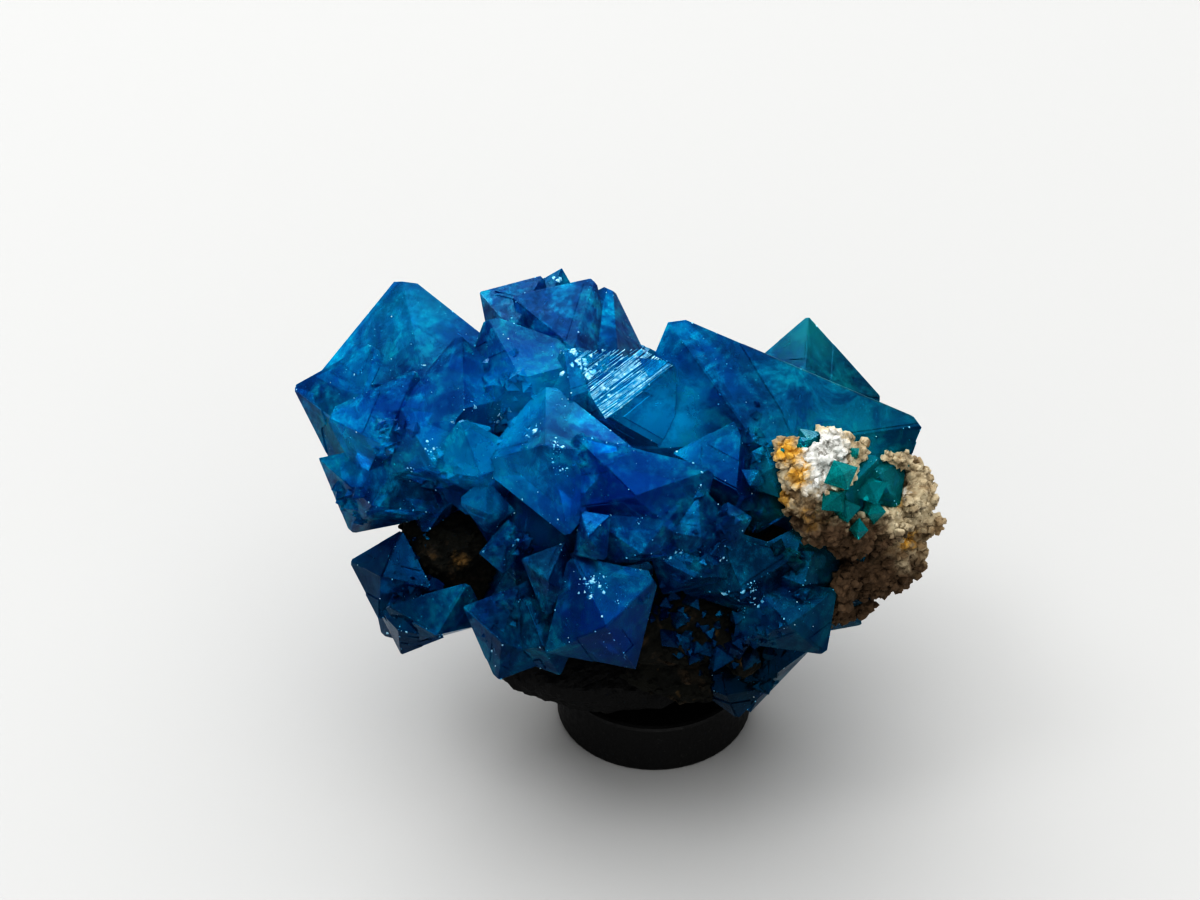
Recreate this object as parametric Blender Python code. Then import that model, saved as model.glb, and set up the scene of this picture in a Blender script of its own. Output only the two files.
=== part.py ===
"""Liroconite crystals grown on a crumbly matrix, set with putty on a short round peg.

The specimen is about 12 mm across. The model is in metres, +Z up, with its origin at the
centre of the peg's base. The crystals are placed by hand in the display frame: the side that
is shown leans back by DISPLAY_TILT, and a place is given in millimetres across (to the right),
up and out (towards the viewer) from the middle of the cluster.
"""

import math
import random

import bmesh
import bpy
from mathutils import Matrix, Vector, noise

MM = 0.001

# Driving dimensions
DISPLAY_TILT = math.radians(40.0)
CLUSTER_MIDDLE = Vector((-0.65, 0.2, 5.13)) * MM
PEG_RADIUS = 1.86 * MM
PEG_HEIGHT = 1.1 * MM
PEG_BEVEL = 0.08 * MM
PEG_BEVEL_STEPS = 2
PEG_SIDES = 48
SEATING_GAP = 0.03 * MM
WELD = 0.001 * MM
SLIVER = 0.0015 * MM
CUT_TOUCH = 0.00001 * MM
BLOCK_SPAN = 4.0
FLAT_ANGLE = math.radians(0.3)

# Habit of the crystals: how far each face may stray from its ideal distance, and how much
# is missing from the corners of the four-sided girdle.
FACE_STRAY = 0.07
CORNER_BLUNT = 0.07
BLUNT_LEAST = 0.3
BLUNT_MOST = 1.7
HABIT_SEED = 5

# Crystals of the front, placed by hand.
# Each row: across, up, out; half lengths along a, c and b; turn, lean right, lean up (degrees).
FRONT_CRYSTALS = [
    # Upper left: the big pale blade and what grows below it
    (-3.26, 1.82, 1.10, 2.00, 1.38, 1.00, -38, -8, 10),
    (-4.68, 1.20, 0.95, 1.32, 0.97, 0.75, -64, -20, -8),
    (-4.20, 1.20, 1.70, 0.95, 0.80, 0.70, 25, -5, -20),
    (-3.00, 1.50, 2.00, 1.10, 0.90, 0.80, 50, 8, -5),
    (-3.25, 0.80, 2.20, 0.85, 0.70, 0.55, -15, -10, -25),
    (-2.55, 0.60, 2.50, 0.80, 0.60, 0.50, -30, 5, -30),
    (-2.40, -0.20, 2.40, 0.42, 0.34, 0.35, -50, 0, -20),
    (-2.08, -0.92, 2.40, 0.42, 0.28, 0.35, 50, 0, 0),
    (-1.80, -0.65, 1.80, 0.85, 0.65, 0.70, -60, -10, -15),
    (-4.40, 0.15, 1.20, 0.95, 0.80, 0.70, 12, -15, -30),
    # Top: three blades side by side, a small one behind them
    (-1.80, 2.86, 0.90, 0.62, 1.05, 0.62, 14, -15, 10),
    (-0.95, 2.60, 1.20, 0.78, 1.32, 0.85, 12.5, 5, 10),
    (-0.32, 2.50, 0.90, 0.80, 1.20, 0.70, 26, 20, 5),
    (-1.25, 3.68, 0.60, 0.42, 0.36, 0.36, 30, 0, 0),
    (-1.70, 2.05, 1.90, 1.10, 0.90, 0.80, -20, -5, 5),
    (-0.85, 1.75, 2.20, 0.70, 0.60, 0.50, 60, 0, 0),
    # The bright striated face between the top blades and the big right one
    (-0.10, 1.70, 2.00, 1.05, 0.90, 0.80, -7, -14, -22),
    # Right: the long blade, and the pale one behind it
    (2.70, 1.00, 1.90, 2.55, 1.42, 0.95, -23.3, -5, -8),
    (3.42, 1.88, -0.60, 1.06, 1.10, 0.80, -49, 0, 10),
    # Middle
    (0.24, 0.10, 3.10, 1.35, 0.72, 0.62, -14, 5, -15),
    (-1.12, 0.62, 2.90, 1.10, 1.00, 0.85, -37.5, -12, 15),
    (-0.50, -0.70, 3.30, 0.40, 0.30, 0.25, 80, -20, -10),
    (0.37, -0.75, 2.90, 0.85, 0.60, 0.55, 10, 5, -35),
    (1.40, -0.65, 2.80, 0.60, 0.60, 0.50, 45, 10, -15),
    (1.97, -0.56, 2.90, 0.35, 0.30, 0.30, 60, 0, 0),
    (1.30, -1.30, 2.60, 0.70, 0.45, 0.40, 15, 0, -30),
    (-1.20, -1.50, 2.60, 0.55, 0.45, 0.40, -70, -15, -10),
    (2.05, 0.30, 2.20, 1.00, 0.80, 0.70, -60, 10, -20),
    (2.20, -1.40, 2.10, 0.90, 0.80, 0.70, -20, 0, -30),
    (3.15, -1.35, 1.70, 0.85, 0.75, 0.65, 30, 15, -25),
    # Lower middle and lower left
    (-0.35, -2.15, 2.60, 0.85, 0.95, 0.70, -12, 5, -20),
    (-2.05, -2.50, 1.80, 0.75, 0.60, 0.50, -70, -15, -15),
    (-1.42, -2.58, 1.92, 0.62, 0.60, 0.47, -22, 0, -20),
    (-4.24, -1.46, 0.80, 0.62, 0.60, 0.45, -62, -20, -5),
    (-3.35, -2.20, 1.00, 0.85, 0.55, 0.60, 20, 0, -40),
    (-3.88, -2.33, 0.80, 0.50, 0.50, 0.45, -70, -25, -20),
    # Lower right
    (3.02, -2.18, 1.80, 0.90, 0.65, 0.60, -8, 5, -15),
    (2.62, -3.20, 0.30, 0.85, 0.55, 0.50, 55, 15, -30),
    (1.95, -3.50, 0.40, 0.65, 0.42, 0.40, -40, 0, -30),
    # Green crystals in the crust
    (2.70, 0.47, 2.70, 0.45, 0.35, 0.35, 70, 0, 0),
    (2.58, -0.26, 2.35, 0.38, 0.32, 0.40, 30, 0, -10),
    (4.04, 0.15, 2.35, 0.72, 0.48, 0.60, 75, 0, -10),
    (4.66, 0.32, 2.10, 0.50, 0.46, 0.45, -10, 5, 5),
    (3.40, 0.90, 2.85, 0.26, 0.22, 0.30, 80, 0, 10),
    (3.95, -1.75, 0.80, 0.70, 0.45, 0.50, 20, 20, -10),
]

# Big crystals inside the cluster, which the others grow out of.
INNER_CRYSTALS = [
    (-2.60, 1.10, 0.20, 1.90, 1.50, 1.25, -20, -10, 10),
    (-0.70, 0.95, 0.50, 1.90, 1.50, 1.80, 15, 0, 5),
    (2.90, 0.35, 0.00, 2.20, 1.45, 1.80, -20, 8, 0),
    (-0.60, -1.40, 0.60, 1.90, 1.20, 1.50, -10, 0, -10),
    (2.60, -1.50, 0.20, 1.80, 1.30, 1.60, 10, 10, -10),
    (2.10, -2.70, 0.10, 1.00, 0.80, 0.90, -20, 10, -20),
    (-3.60, -1.75, -0.20, 1.00, 0.80, 1.20, 10, -10, -10),
    (-0.50, -1.80, 1.60, 1.00, 0.80, 0.90, -12, 0, -15),
    (-1.50, -2.20, 0.90, 0.90, 0.60, 0.90, -30, 0, -10),
]

# Crystals of the back and the sides, spread over an egg shape in the display frame.
BACK_SEED = 11
BACK_COUNT = 46
BACK_RADII = (4.1, 1.7, 3.0)
BACK_MIDDLE = (0.8, 0.0, 0.1)
BACK_FRONT_LIMIT = 0.05
BACK_LOW_LIMIT = -0.62
BACK_HALVES = (1.25, 1.0, 0.85)
BACK_SIZES = (0.75, 1.35)
BACK_REACHES = (0.92, 1.05)
BACK_LEAN_STRAY = 25
GOLDEN_ANGLE = math.radians(137.508)

# Lumps of the matrix. Each row: across, up, out; radii across, up and out.
ROCK_LUMPS = [
    # Middle and lower left, seen in the dark cavity
    (-0.40, -1.30, 0.30, 1.60, 1.30, 1.30),
    (-2.65, -0.90, -0.10, 1.45, 1.20, 1.10),
    # Lower middle, under the hanging crystals
    (1.05, -2.20, 0.80, 1.20, 0.90, 1.15),
    (1.20, -3.20, 0.20, 1.20, 0.45, 0.80),
    (1.90, -2.75, 1.35, 0.40, 0.30, 0.35),
    (2.25, -3.05, 0.95, 0.35, 0.25, 0.35),
    # Lower right
    (3.25, -1.32, 0.60, 1.65, 1.08, 1.10),
    (4.60, -0.95, 0.90, 1.00, 0.85, 0.90),
    (4.10, -1.60, 1.50, 0.30, 0.55, 0.40),
    (3.55, -2.80, 1.00, 0.18, 0.18, 0.30),
    (4.30, -0.40, 1.80, 0.90, 0.60, 0.70),
    # Right-hand lump with its tip
    (5.30, 0.05, 1.60, 0.50, 0.65, 0.55),
    (5.55, -0.50, 1.40, 0.42, 0.20, 0.30),
    (5.10, -1.20, 0.90, 0.38, 0.42, 0.45),
    # Pale upper lump
    (3.50, 0.40, 2.65, 0.80, 0.72, 0.60),
    (3.10, 0.72, 2.85, 0.38, 0.33, 0.35),
    (3.80, 0.90, 2.70, 0.42, 0.33, 0.40),
    (3.35, -0.05, 2.70, 0.48, 0.42, 0.42),
    (3.65, -0.45, 2.45, 0.55, 0.42, 0.50),
    (4.15, -0.60, 2.10, 0.60, 0.45, 0.60),
    (4.36, 0.80, 2.55, 0.16, 0.14, 0.22),
    (4.15, 0.62, 2.55, 0.22, 0.20, 0.28),
    (4.90, 0.62, 2.10, 0.45, 0.14, 0.35),
]
BIG_LUMP = 0.8
FINE_DETAIL = 3
COARSE_DETAIL = 2
ROCK_ROUGHNESS = 0.22

# Creases of the lumps: waves per millimetre of the broad and the fine ones, and how deep
# the fine ones are beside the broad ones.
BROAD_CREASE = 1.1
FINE_CREASE = 2.7
FINE_CREASE_SHARE = 0.6

# Cushion of putty between the specimen and the peg. Each row: world place, then radii.
PUTTY_LUMPS = [
    (-0.90, -0.10, 1.95, 2.40, 2.00, 0.90),
    (0.90, 0.00, 1.80, 1.50, 1.70, 0.80),
]
PUTTY_ROUGHNESS = 0.10
CUTTER_SIZE = 20.0 * MM


def reset_scene():
    """Remove every object, so that the model starts from nothing."""
    for item in list(bpy.data.objects):
        bpy.data.objects.remove(item)


def new_collection(name):
    """A collection of the given name, linked to the scene."""
    collection = bpy.data.collections.new(name)
    bpy.context.scene.collection.children.link(collection)
    return collection


def principled(name, colour, roughness, transmission=0.0, ior=1.45):
    """A material with the colour and roughness of one sub-part."""
    material = bpy.data.materials.new(name)
    material.use_nodes = True
    shader = material.node_tree.nodes["Principled BSDF"]
    shader.inputs["Base Color"].default_value = (*colour, 1.0)
    shader.inputs["Roughness"].default_value = roughness
    shader.inputs["Metallic"].default_value = 0.0
    shader.inputs["Transmission Weight"].default_value = transmission
    shader.inputs["IOR"].default_value = ior
    material.diffuse_color = (*colour, 1.0)
    return material


def display_basis():
    """The display frame's own axes: right, up the leaning front, and out of it."""
    right = Vector((1.0, 0.0, 0.0))
    up = Vector((0.0, math.sin(DISPLAY_TILT), math.cos(DISPLAY_TILT)))
    out = Vector((0.0, -math.cos(DISPLAY_TILT), math.sin(DISPLAY_TILT)))
    return Matrix((right, up, out)).transposed()


def display_point(across, up, out):
    """World place of a point given in millimetres in the display frame."""
    return CLUSTER_MIDDLE + display_basis() @ Vector((across, up, out)) * MM


def crystal_frame(place, turn, lean_right, lean_up):
    """Place and attitude of a crystal whose b axis starts out facing the viewer."""
    spin = Matrix.Rotation(math.radians(turn), 3, "Z")
    lean = Matrix.Rotation(math.radians(lean_right), 3, "Y")
    lift = Matrix.Rotation(math.radians(-lean_up), 3, "X")
    attitude = display_basis() @ lean @ lift @ spin
    return Matrix.Translation(display_point(*place)) @ attitude.to_4x4()


def habit_faces(half_a, half_c, half_b, rng):
    """Outward normal and distance of each face of a flattened octahedron.

    The eight faces slope from the girdle to the two tips, and four small ones blunt the
    girdle's corners. Each face strays a little from its ideal distance.
    """
    faces = []
    for tip in (-1.0, 1.0):
        for side in (-1.0, 1.0):
            faces.append((Vector((side / half_a, 0.0, tip / half_b)), 1.0))
            faces.append((Vector((0.0, side / half_c, tip / half_b)), 1.0))
    for side_a in (-1.0, 1.0):
        for side_c in (-1.0, 1.0):
            blunt = CORNER_BLUNT * rng.uniform(BLUNT_LEAST, BLUNT_MOST)
            faces.append((Vector((side_a / half_a, side_c / half_c, 0.0)), 2.0 - blunt))
    placed = []
    for normal, reach in faces:
        stray = 1.0 + FACE_STRAY * rng.uniform(-1.0, 1.0)
        placed.append((normal.normalized(), stray * reach / normal.length))
    return placed


def cut_crystal(name, frame, faces, size, grow, collection):
    """A block cut back to the given faces, each moved out by grow."""
    bm = bmesh.new()
    bmesh.ops.create_cube(bm, size=BLOCK_SPAN * size)
    for normal, distance in faces:
        everything = bm.verts[:] + bm.edges[:] + bm.faces[:]
        cut = bmesh.ops.bisect_plane(
            bm,
            geom=everything,
            dist=CUT_TOUCH,
            plane_co=normal * (distance + grow),
            plane_no=normal,
            clear_outer=True,
        )
        rim = [part for part in cut["geom_cut"] if isinstance(part, bmesh.types.BMEdge)]
        bmesh.ops.contextual_create(bm, geom=rim)
    bmesh.ops.remove_doubles(bm, verts=bm.verts, dist=WELD)
    bmesh.ops.transform(bm, matrix=frame, verts=bm.verts)
    bmesh.ops.recalc_face_normals(bm, faces=bm.faces)
    mesh = bpy.data.meshes.new(name)
    bm.to_mesh(mesh)
    bm.free()
    crystal = bpy.data.objects.new(name, mesh)
    collection.objects.link(crystal)
    return crystal


def back_rows():
    """Rows for the crystals of the back and sides, spread evenly over an egg shape."""
    rng = random.Random(BACK_SEED)
    rows = []
    for index in range(BACK_COUNT):
        height = 1.0 - 2.0 * (index + 0.5) / BACK_COUNT
        angle = index * GOLDEN_ANGLE
        ring = math.sqrt(1.0 - height * height)
        direction = Vector((ring * math.cos(angle), height, ring * math.sin(angle)))
        if direction.z > BACK_FRONT_LIMIT or direction.y < BACK_LOW_LIMIT:
            continue
        size = rng.uniform(*BACK_SIZES)
        reach = rng.uniform(*BACK_REACHES)
        place = [
            BACK_MIDDLE[axis] + BACK_RADII[axis] * reach * direction[axis]
            for axis in range(3)
        ]
        half_a, half_c, half_b = (half * size for half in BACK_HALVES)
        turn = rng.uniform(-90, 90)
        lean_right = math.degrees(math.atan2(direction.x, direction.z))
        lean_right += rng.uniform(-BACK_LEAN_STRAY, BACK_LEAN_STRAY)
        lean_up = math.degrees(math.asin(direction.y))
        lean_up += rng.uniform(-BACK_LEAN_STRAY, BACK_LEAN_STRAY)
        rows.append((*place, half_a, half_c, half_b, turn, lean_right, lean_up))
    return rows


def make_crystals(collection, grow):
    """Every crystal as an object of its own, each face moved out by grow."""
    rng = random.Random(HABIT_SEED)
    crystals = []
    for index, row in enumerate(FRONT_CRYSTALS + INNER_CRYSTALS + back_rows()):
        half_a, half_c, half_b = (value * MM for value in row[3:6])
        faces = habit_faces(half_a, half_c, half_b, rng)
        frame = crystal_frame(row[0:3], *row[6:9])
        name = f"crystal_{index:02d}"
        size = max(half_a, half_c, half_b)
        crystals.append(cut_crystal(name, frame, faces, size, grow, collection))
    return crystals


def lump(name, centre, radii, detail, roughness, grow, collection):
    """A rough lump: a sphere of triangles stretched to its radii and creased by noise."""
    bm = bmesh.new()
    bmesh.ops.create_icosphere(bm, subdivisions=detail, radius=1.0)
    longest = max(radii)
    for vert in bm.verts:
        direction = vert.co.normalized()
        spot = (centre + direction * longest) / MM
        crease = noise.noise(spot * BROAD_CREASE)
        crease += FINE_CREASE_SHARE * noise.noise(spot * FINE_CREASE)
        swell = 1.0 + roughness * crease
        vert.co = Vector(
            [direction[axis] * (radii[axis] * swell + grow) for axis in range(3)]
        )
    bmesh.ops.translate(bm, vec=centre, verts=bm.verts)
    bmesh.ops.recalc_face_normals(bm, faces=bm.faces)
    mesh = bpy.data.meshes.new(name)
    bm.to_mesh(mesh)
    bm.free()
    rock = bpy.data.objects.new(name, mesh)
    collection.objects.link(rock)
    return rock


def turned_radii(radii):
    """World radii of a lump whose radii are given across, up and out."""
    basis = display_basis()
    world = []
    for axis in range(3):
        parts = [(basis[axis][column] * radii[column]) ** 2 for column in range(3)]
        world.append(math.sqrt(sum(parts)))
    return Vector(world) * MM


def make_rock(collection, grow):
    """The lumps of the matrix, each an object of its own, swollen by grow."""
    lumps = []
    for index, row in enumerate(ROCK_LUMPS):
        centre = display_point(*row[0:3])
        radii = turned_radii(row[3:6])
        detail = FINE_DETAIL if max(row[3:6]) > BIG_LUMP else COARSE_DETAIL
        name = f"lump_{index:02d}"
        lumps.append(lump(name, centre, radii, detail, ROCK_ROUGHNESS, grow, collection))
    return lumps


def make_putty(collection):
    """The flattened cushion of putty, cut level where it sits on the peg."""
    lumps = []
    for index, row in enumerate(PUTTY_LUMPS):
        centre = Vector(row[0:3]) * MM
        radii = Vector(row[3:6]) * MM
        name = f"putty_{index:02d}"
        lumps.append(
            lump(name, centre, radii, FINE_DETAIL, PUTTY_ROUGHNESS, 0.0, collection)
        )
    return lumps


def below_peg_top(collection):
    """A block that takes away everything lower than the peg's top and its seating gap."""
    bm = bmesh.new()
    bmesh.ops.create_cube(bm, size=CUTTER_SIZE)
    level = PEG_HEIGHT + SEATING_GAP
    bmesh.ops.translate(bm, vec=(0.0, 0.0, level - CUTTER_SIZE / 2.0), verts=bm.verts)
    mesh = bpy.data.meshes.new("below_peg_top")
    bm.to_mesh(mesh)
    bm.free()
    block = bpy.data.objects.new("below_peg_top", mesh)
    collection.objects.link(block)
    return block


def hide_as_cutters(objects):
    """Mark helper solids, which only shape others, so that they are left out."""
    for item in objects:
        item.hide_render = True
        item.display_type = "WIRE"


def boolean(base, operation, collection):
    """Give base a Boolean with every solid of a collection."""
    modifier = base.modifiers.new(operation.lower(), "BOOLEAN")
    modifier.operation = operation
    modifier.operand_type = "COLLECTION"
    modifier.collection = collection
    modifier.solver = "EXACT"


def loose_bodies(bm):
    """The faces of every loose body, the largest body first."""
    unseen = set(bm.faces)
    bodies = []
    while unseen:
        stack = [unseen.pop()]
        body = []
        while stack:
            face = stack.pop()
            body.append(face)
            for edge in face.edges:
                for other in edge.link_faces:
                    if other in unseen:
                        unseen.remove(other)
                        stack.append(other)
        bodies.append(body)
    return sorted(bodies, key=signed_volume, reverse=True)


def signed_volume(faces):
    """Volume enclosed by a body's faces, negative for a hollow."""
    total = 0.0
    for face in faces:
        corners = [vert.co for vert in face.verts]
        for index in range(1, len(corners) - 1):
            total += corners[0].dot(corners[index].cross(corners[index + 1])) / 6.0
    return total


def settle(base, names, material, collection):
    """Freeze an object's modifiers into clean solids, one for each name.

    The largest loose bodies take the names in order. What is left over, which is hollows
    shut inside the solid and stray chips, is dropped.
    """
    bpy.context.view_layer.update()
    evaluated = base.evaluated_get(bpy.context.evaluated_depsgraph_get())
    joined = bpy.data.meshes.new_from_object(evaluated)
    for rank, name in enumerate(names):
        bm = bmesh.new()
        bm.from_mesh(joined)
        bmesh.ops.remove_doubles(bm, verts=bm.verts, dist=SLIVER)
        bmesh.ops.dissolve_degenerate(bm, edges=bm.edges, dist=SLIVER)
        bmesh.ops.dissolve_limit(
            bm,
            angle_limit=FLAT_ANGLE,
            verts=bm.verts,
            edges=bm.edges,
        )
        bodies = loose_bodies(bm)
        others = [face for body in bodies if body is not bodies[rank] for face in body]
        bmesh.ops.delete(bm, geom=others, context="FACES")
        bmesh.ops.triangulate(bm, faces=bm.faces)
        mesh = bpy.data.meshes.new(name)
        bm.to_mesh(mesh)
        bm.free()
        mesh.materials.append(material)
        collection.objects.link(bpy.data.objects.new(name, mesh))
    bpy.data.meshes.remove(joined)


def build_peg(collection, material):
    """The short round peg with a narrow bevel round both rims."""
    bm = bmesh.new()
    bmesh.ops.create_cone(
        bm,
        cap_ends=True,
        segments=PEG_SIDES,
        radius1=PEG_RADIUS,
        radius2=PEG_RADIUS,
        depth=PEG_HEIGHT,
    )
    rims = [edge for edge in bm.edges if abs(edge.verts[0].co.z - edge.verts[1].co.z) < WELD]
    bmesh.ops.bevel(
        bm,
        geom=rims,
        offset=PEG_BEVEL,
        segments=PEG_BEVEL_STEPS,
        affect="EDGES",
        profile=0.5,
    )
    mesh = bpy.data.meshes.new("peg")
    bm.to_mesh(mesh)
    bm.free()
    mesh.materials.append(material)
    peg = bpy.data.objects.new("peg", mesh)
    peg.location = (0.0, 0.0, PEG_HEIGHT / 2.0)
    collection.objects.link(peg)
    return peg


def build():
    """The whole specimen: crystals, matrix, putty and peg."""
    reset_scene()
    parts = new_collection("liroconite_specimen")
    helpers = new_collection("cutters")
    blue = principled("liroconite", (0.01, 0.16, 0.42), 0.12, transmission=0.6, ior=1.6)
    stone = principled("matrix", (0.55, 0.46, 0.34), 0.9)
    black_putty = principled("putty", (0.012, 0.012, 0.012), 0.75)
    black_peg = principled("peg", (0.02, 0.02, 0.022), 0.6)

    grown = bpy.data.collections.new("grown_crystals")
    swollen = bpy.data.collections.new("swollen_crystals")
    rocks = bpy.data.collections.new("rock_lumps")
    swollen_rock = bpy.data.collections.new("swollen_rock")
    cushions = bpy.data.collections.new("putty_lumps")
    floor = bpy.data.collections.new("peg_clearance")
    for group in (grown, swollen, rocks, swollen_rock, cushions, floor):
        helpers.children.link(group)

    crystals = make_crystals(grown, 0.0)
    first = crystals[0]
    grown.objects.unlink(first)
    helpers.objects.link(first)
    boolean(first, "UNION", grown)
    settle(first, ["liroconite_crystals"], blue, parts)

    make_crystals(swollen, SEATING_GAP)
    lumps = make_rock(rocks, 0.0)
    core = lumps[0]
    rocks.objects.unlink(core)
    helpers.objects.link(core)
    boolean(core, "UNION", rocks)
    boolean(core, "DIFFERENCE", swollen)
    settle(core, ["matrix_rock", "matrix_crust"], stone, parts)

    make_rock(swollen_rock, SEATING_GAP)
    cushion_parts = make_putty(cushions)
    cushion = cushion_parts[0]
    cushions.objects.unlink(cushion)
    helpers.objects.link(cushion)
    below_peg_top(floor)
    boolean(cushion, "UNION", cushions)
    boolean(cushion, "DIFFERENCE", floor)
    boolean(cushion, "DIFFERENCE", swollen_rock)
    boolean(cushion, "DIFFERENCE", swollen)
    settle(cushion, ["mounting_putty"], black_putty, parts)

    build_peg(parts, black_peg)
    hide_as_cutters(helpers.all_objects)


build()
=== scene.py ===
"""Looks of the liroconite crystal specimen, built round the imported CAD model."""

import math
import random

import bmesh
import bpy
from mathutils import Matrix, Vector, noise
from mathutils.bvhtree import BVHTree


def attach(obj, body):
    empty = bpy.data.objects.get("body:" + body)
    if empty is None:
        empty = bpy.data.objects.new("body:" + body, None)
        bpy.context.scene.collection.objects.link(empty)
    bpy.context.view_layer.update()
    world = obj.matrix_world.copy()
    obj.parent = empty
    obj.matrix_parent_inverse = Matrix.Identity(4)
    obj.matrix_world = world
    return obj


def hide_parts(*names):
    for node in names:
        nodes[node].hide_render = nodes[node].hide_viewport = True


MM = 0.001

# The camera looks along the display frame's axis, from this far in front of the cluster.
DISPLAY_TILT = math.radians(40.0)
CLUSTER_MIDDLE = Vector((-0.65, 0.2, 5.13)) * MM
CAMERA_DISTANCE = 85.0 * MM
PIXELS_PER_MM = 53.7
IMAGE_WIDTH = 1200.0
IMAGE_HEIGHT = 900.0
MIDDLE_PIXEL = (620.0, 495.0)
SENSOR_WIDTH = 36.0

RIGHT = (1.0, 0.0, 0.0)
WHITE = (1.0, 1.0, 1.0, 1.0)

# Vertices of the crystals that are closer than this are one corner.
MERGE_DISTANCE = 0.0005 * MM

# The sockets of Blender's Mix node that carry its colours.
MIX_FIRST_COLOUR = 6
MIX_SECOND_COLOUR = 7
MIX_RESULT_COLOUR = 2


# ---- Helpers


def display_basis():
    """The display frame's own axes: right, up the leaning front, and out of it."""
    right = Vector(RIGHT)
    up = Vector((0.0, math.sin(DISPLAY_TILT), math.cos(DISPLAY_TILT)))
    out = Vector((0.0, -math.cos(DISPLAY_TILT), math.sin(DISPLAY_TILT)))
    return Matrix((right, up, out)).transposed()


def display_point(across, up, out):
    """World place of a point given in millimetres in the display frame."""
    return CLUSTER_MIDDLE + display_basis() @ Vector((across, up, out)) * MM


class Nodes:
    """A material and a short way of writing its node tree."""

    def __init__(self, name):
        self.material = bpy.data.materials.new(name)
        self.material.use_nodes = True
        self.tree = self.material.node_tree
        self.shader = self.tree.nodes["Principled BSDF"]
        self.output = self.tree.nodes["Material Output"]
        self.place = self.tree.nodes.new("ShaderNodeTexCoord").outputs["Object"]

    def link(self, source, target):
        """Gives a socket a number, a colour or another node's output."""
        if isinstance(source, (int, float)):
            target.default_value = source
        elif isinstance(source, tuple):
            target.default_value = (*source, 1.0) if len(source) == 3 else source
        else:
            self.tree.links.new(source, target)

    def noise(self, scale, detail=3.0, rough=0.55, distortion=0.0):
        node = self.tree.nodes.new("ShaderNodeTexNoise")
        self.link(self.place, node.inputs["Vector"])
        node.inputs["Scale"].default_value = scale
        node.inputs["Detail"].default_value = detail
        node.inputs["Roughness"].default_value = rough
        node.inputs["Distortion"].default_value = distortion
        return node.outputs["Fac"]

    def cells(self, scale):
        """Distance of a point from the middle of its cell."""
        node = self.tree.nodes.new("ShaderNodeTexVoronoi")
        self.link(self.place, node.inputs["Vector"])
        node.inputs["Scale"].default_value = scale
        return node.outputs["Distance"]

    def ramp(self, value, low, high, start=0.0, end=1.0):
        """A value stretched so that low becomes start and high becomes end, and clamped."""
        node = self.tree.nodes.new("ShaderNodeMapRange")
        self.link(value, node.inputs["Value"])
        node.inputs["From Min"].default_value = low
        node.inputs["From Max"].default_value = high
        node.inputs["To Min"].default_value = start
        node.inputs["To Max"].default_value = end
        return node.outputs["Result"]

    def math(self, operation, first, second):
        node = self.tree.nodes.new("ShaderNodeMath")
        node.operation = operation
        self.link(first, node.inputs[0])
        self.link(second, node.inputs[1])
        return node.outputs[0]

    def mix(self, share, first, second):
        node = self.tree.nodes.new("ShaderNodeMix")
        node.data_type = "RGBA"
        self.link(share, node.inputs["Factor"])
        self.link(first, node.inputs[MIX_FIRST_COLOUR])
        self.link(second, node.inputs[MIX_SECOND_COLOUR])
        return node.outputs[MIX_RESULT_COLOUR]

    def along(self, direction, middle):
        """Distance in millimetres of a point from middle, measured along a direction."""
        away = self.tree.nodes.new("ShaderNodeVectorMath")
        away.operation = "SUBTRACT"
        self.link(self.place, away.inputs[0])
        away.inputs[1].default_value = middle
        dot = self.tree.nodes.new("ShaderNodeVectorMath")
        dot.operation = "DOT_PRODUCT"
        self.tree.links.new(away.outputs[0], dot.inputs[0])
        dot.inputs[1].default_value = Vector(direction) / MM
        return dot.outputs["Value"]

    def far(self, middle):
        """Distance in millimetres of a point from middle."""
        node = self.tree.nodes.new("ShaderNodeVectorMath")
        node.operation = "DISTANCE"
        self.link(self.place, node.inputs[0])
        node.inputs[1].default_value = middle
        return self.math("DIVIDE", node.outputs["Value"], MM)

    def bump(self, height, strength, distance, normal=None):
        node = self.tree.nodes.new("ShaderNodeBump")
        self.link(height, node.inputs["Height"])
        node.inputs["Strength"].default_value = strength
        node.inputs["Distance"].default_value = distance
        if normal is not None:
            self.link(normal, node.inputs["Normal"])
        return node.outputs["Normal"]

    def set(self, **values):
        """Gives the shader's sockets their values; an underscore stands for a space."""
        for name, value in values.items():
            self.link(value, self.shader.inputs[name.replace("_", " ")])


def assign(obj, material):
    obj.data.materials.clear()
    obj.data.materials.append(material)


def new_object(name, bm):
    mesh = bpy.data.meshes.new(name)
    bm.to_mesh(mesh)
    bm.free()
    obj = bpy.data.objects.new(name, mesh)
    bpy.context.scene.collection.objects.link(obj)
    return obj


# ---- Materials

# Painted glow: this bright azure lightens faces as if light shone through them.
PAINTED_GLOW_AZURE = (0.002, 0.56, 0.92)
ROYAL = (0.0002, 0.085, 0.46)
FAR_TEAL = (0.020, 0.50, 0.50)
# Painted shade: this dark navy darkens places that lie in shadow.
PAINTED_SHADE_NAVY = (0.0001, 0.028, 0.080)
TEAL = (0.001, 0.26, 0.34)
DARK_TEAL = (0.0006, 0.050, 0.065)
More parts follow.
